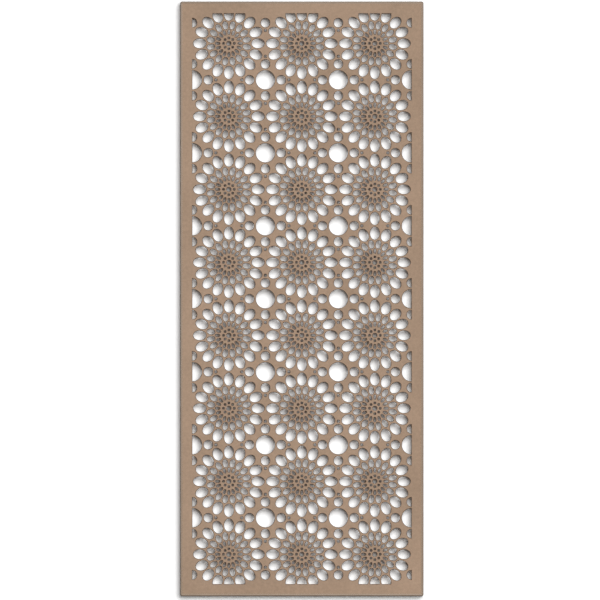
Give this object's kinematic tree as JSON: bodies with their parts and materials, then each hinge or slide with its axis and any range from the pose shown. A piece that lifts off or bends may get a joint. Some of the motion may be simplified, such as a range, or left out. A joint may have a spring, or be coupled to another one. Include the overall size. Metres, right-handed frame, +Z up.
{
  "type": "room divider panel",
  "caption": "Tall flat wooden room divider panel: a pierced board with a plain margin, edge lippings, a half-lapped back frame and threaded inserts in its top and bottom edges.",
  "frame": {"origin": "middle of the panel's bottom edge, at half its depth", "axes": "+Z up, +X to the right seen from the face, the face looks along -Y"},
  "size_m": [0.9, 0.04, 2.2],
  "materials": {
    "board": "fibreboard, clear matt lacquer",
    "lipping": "hardwood toned to the board, clear matt lacquer",
    "frame": "planed hardwood, clear matt lacquer",
    "pins": "beech dowel, sanded flush",
    "screws": "zinc plated",
    "inserts": "turned brass"
  },
  "bodies": {
    "root": {"pierced_sheet": "board", "left_lipping": "lipping", "right_lipping": "lipping", "top_lipping": "lipping", "bottom_lipping": "lipping", "left_stile": "frame", "right_stile": "frame", "top_rail": "frame", "bottom_rail": "frame", "top_left_pins": "pins", "top_right_pins": "pins", "bottom_left_pins": "pins", "bottom_right_pins": "pins", "left_stile_screws": "screws", "right_stile_screws": "screws", "top_rail_screws": "screws", "bottom_rail_screws": "screws", "top_left_insert": "inserts", "top_right_insert": "inserts", "bottom_left_insert": "inserts", "bottom_right_insert": "inserts"}
  },
  "joints": []
}
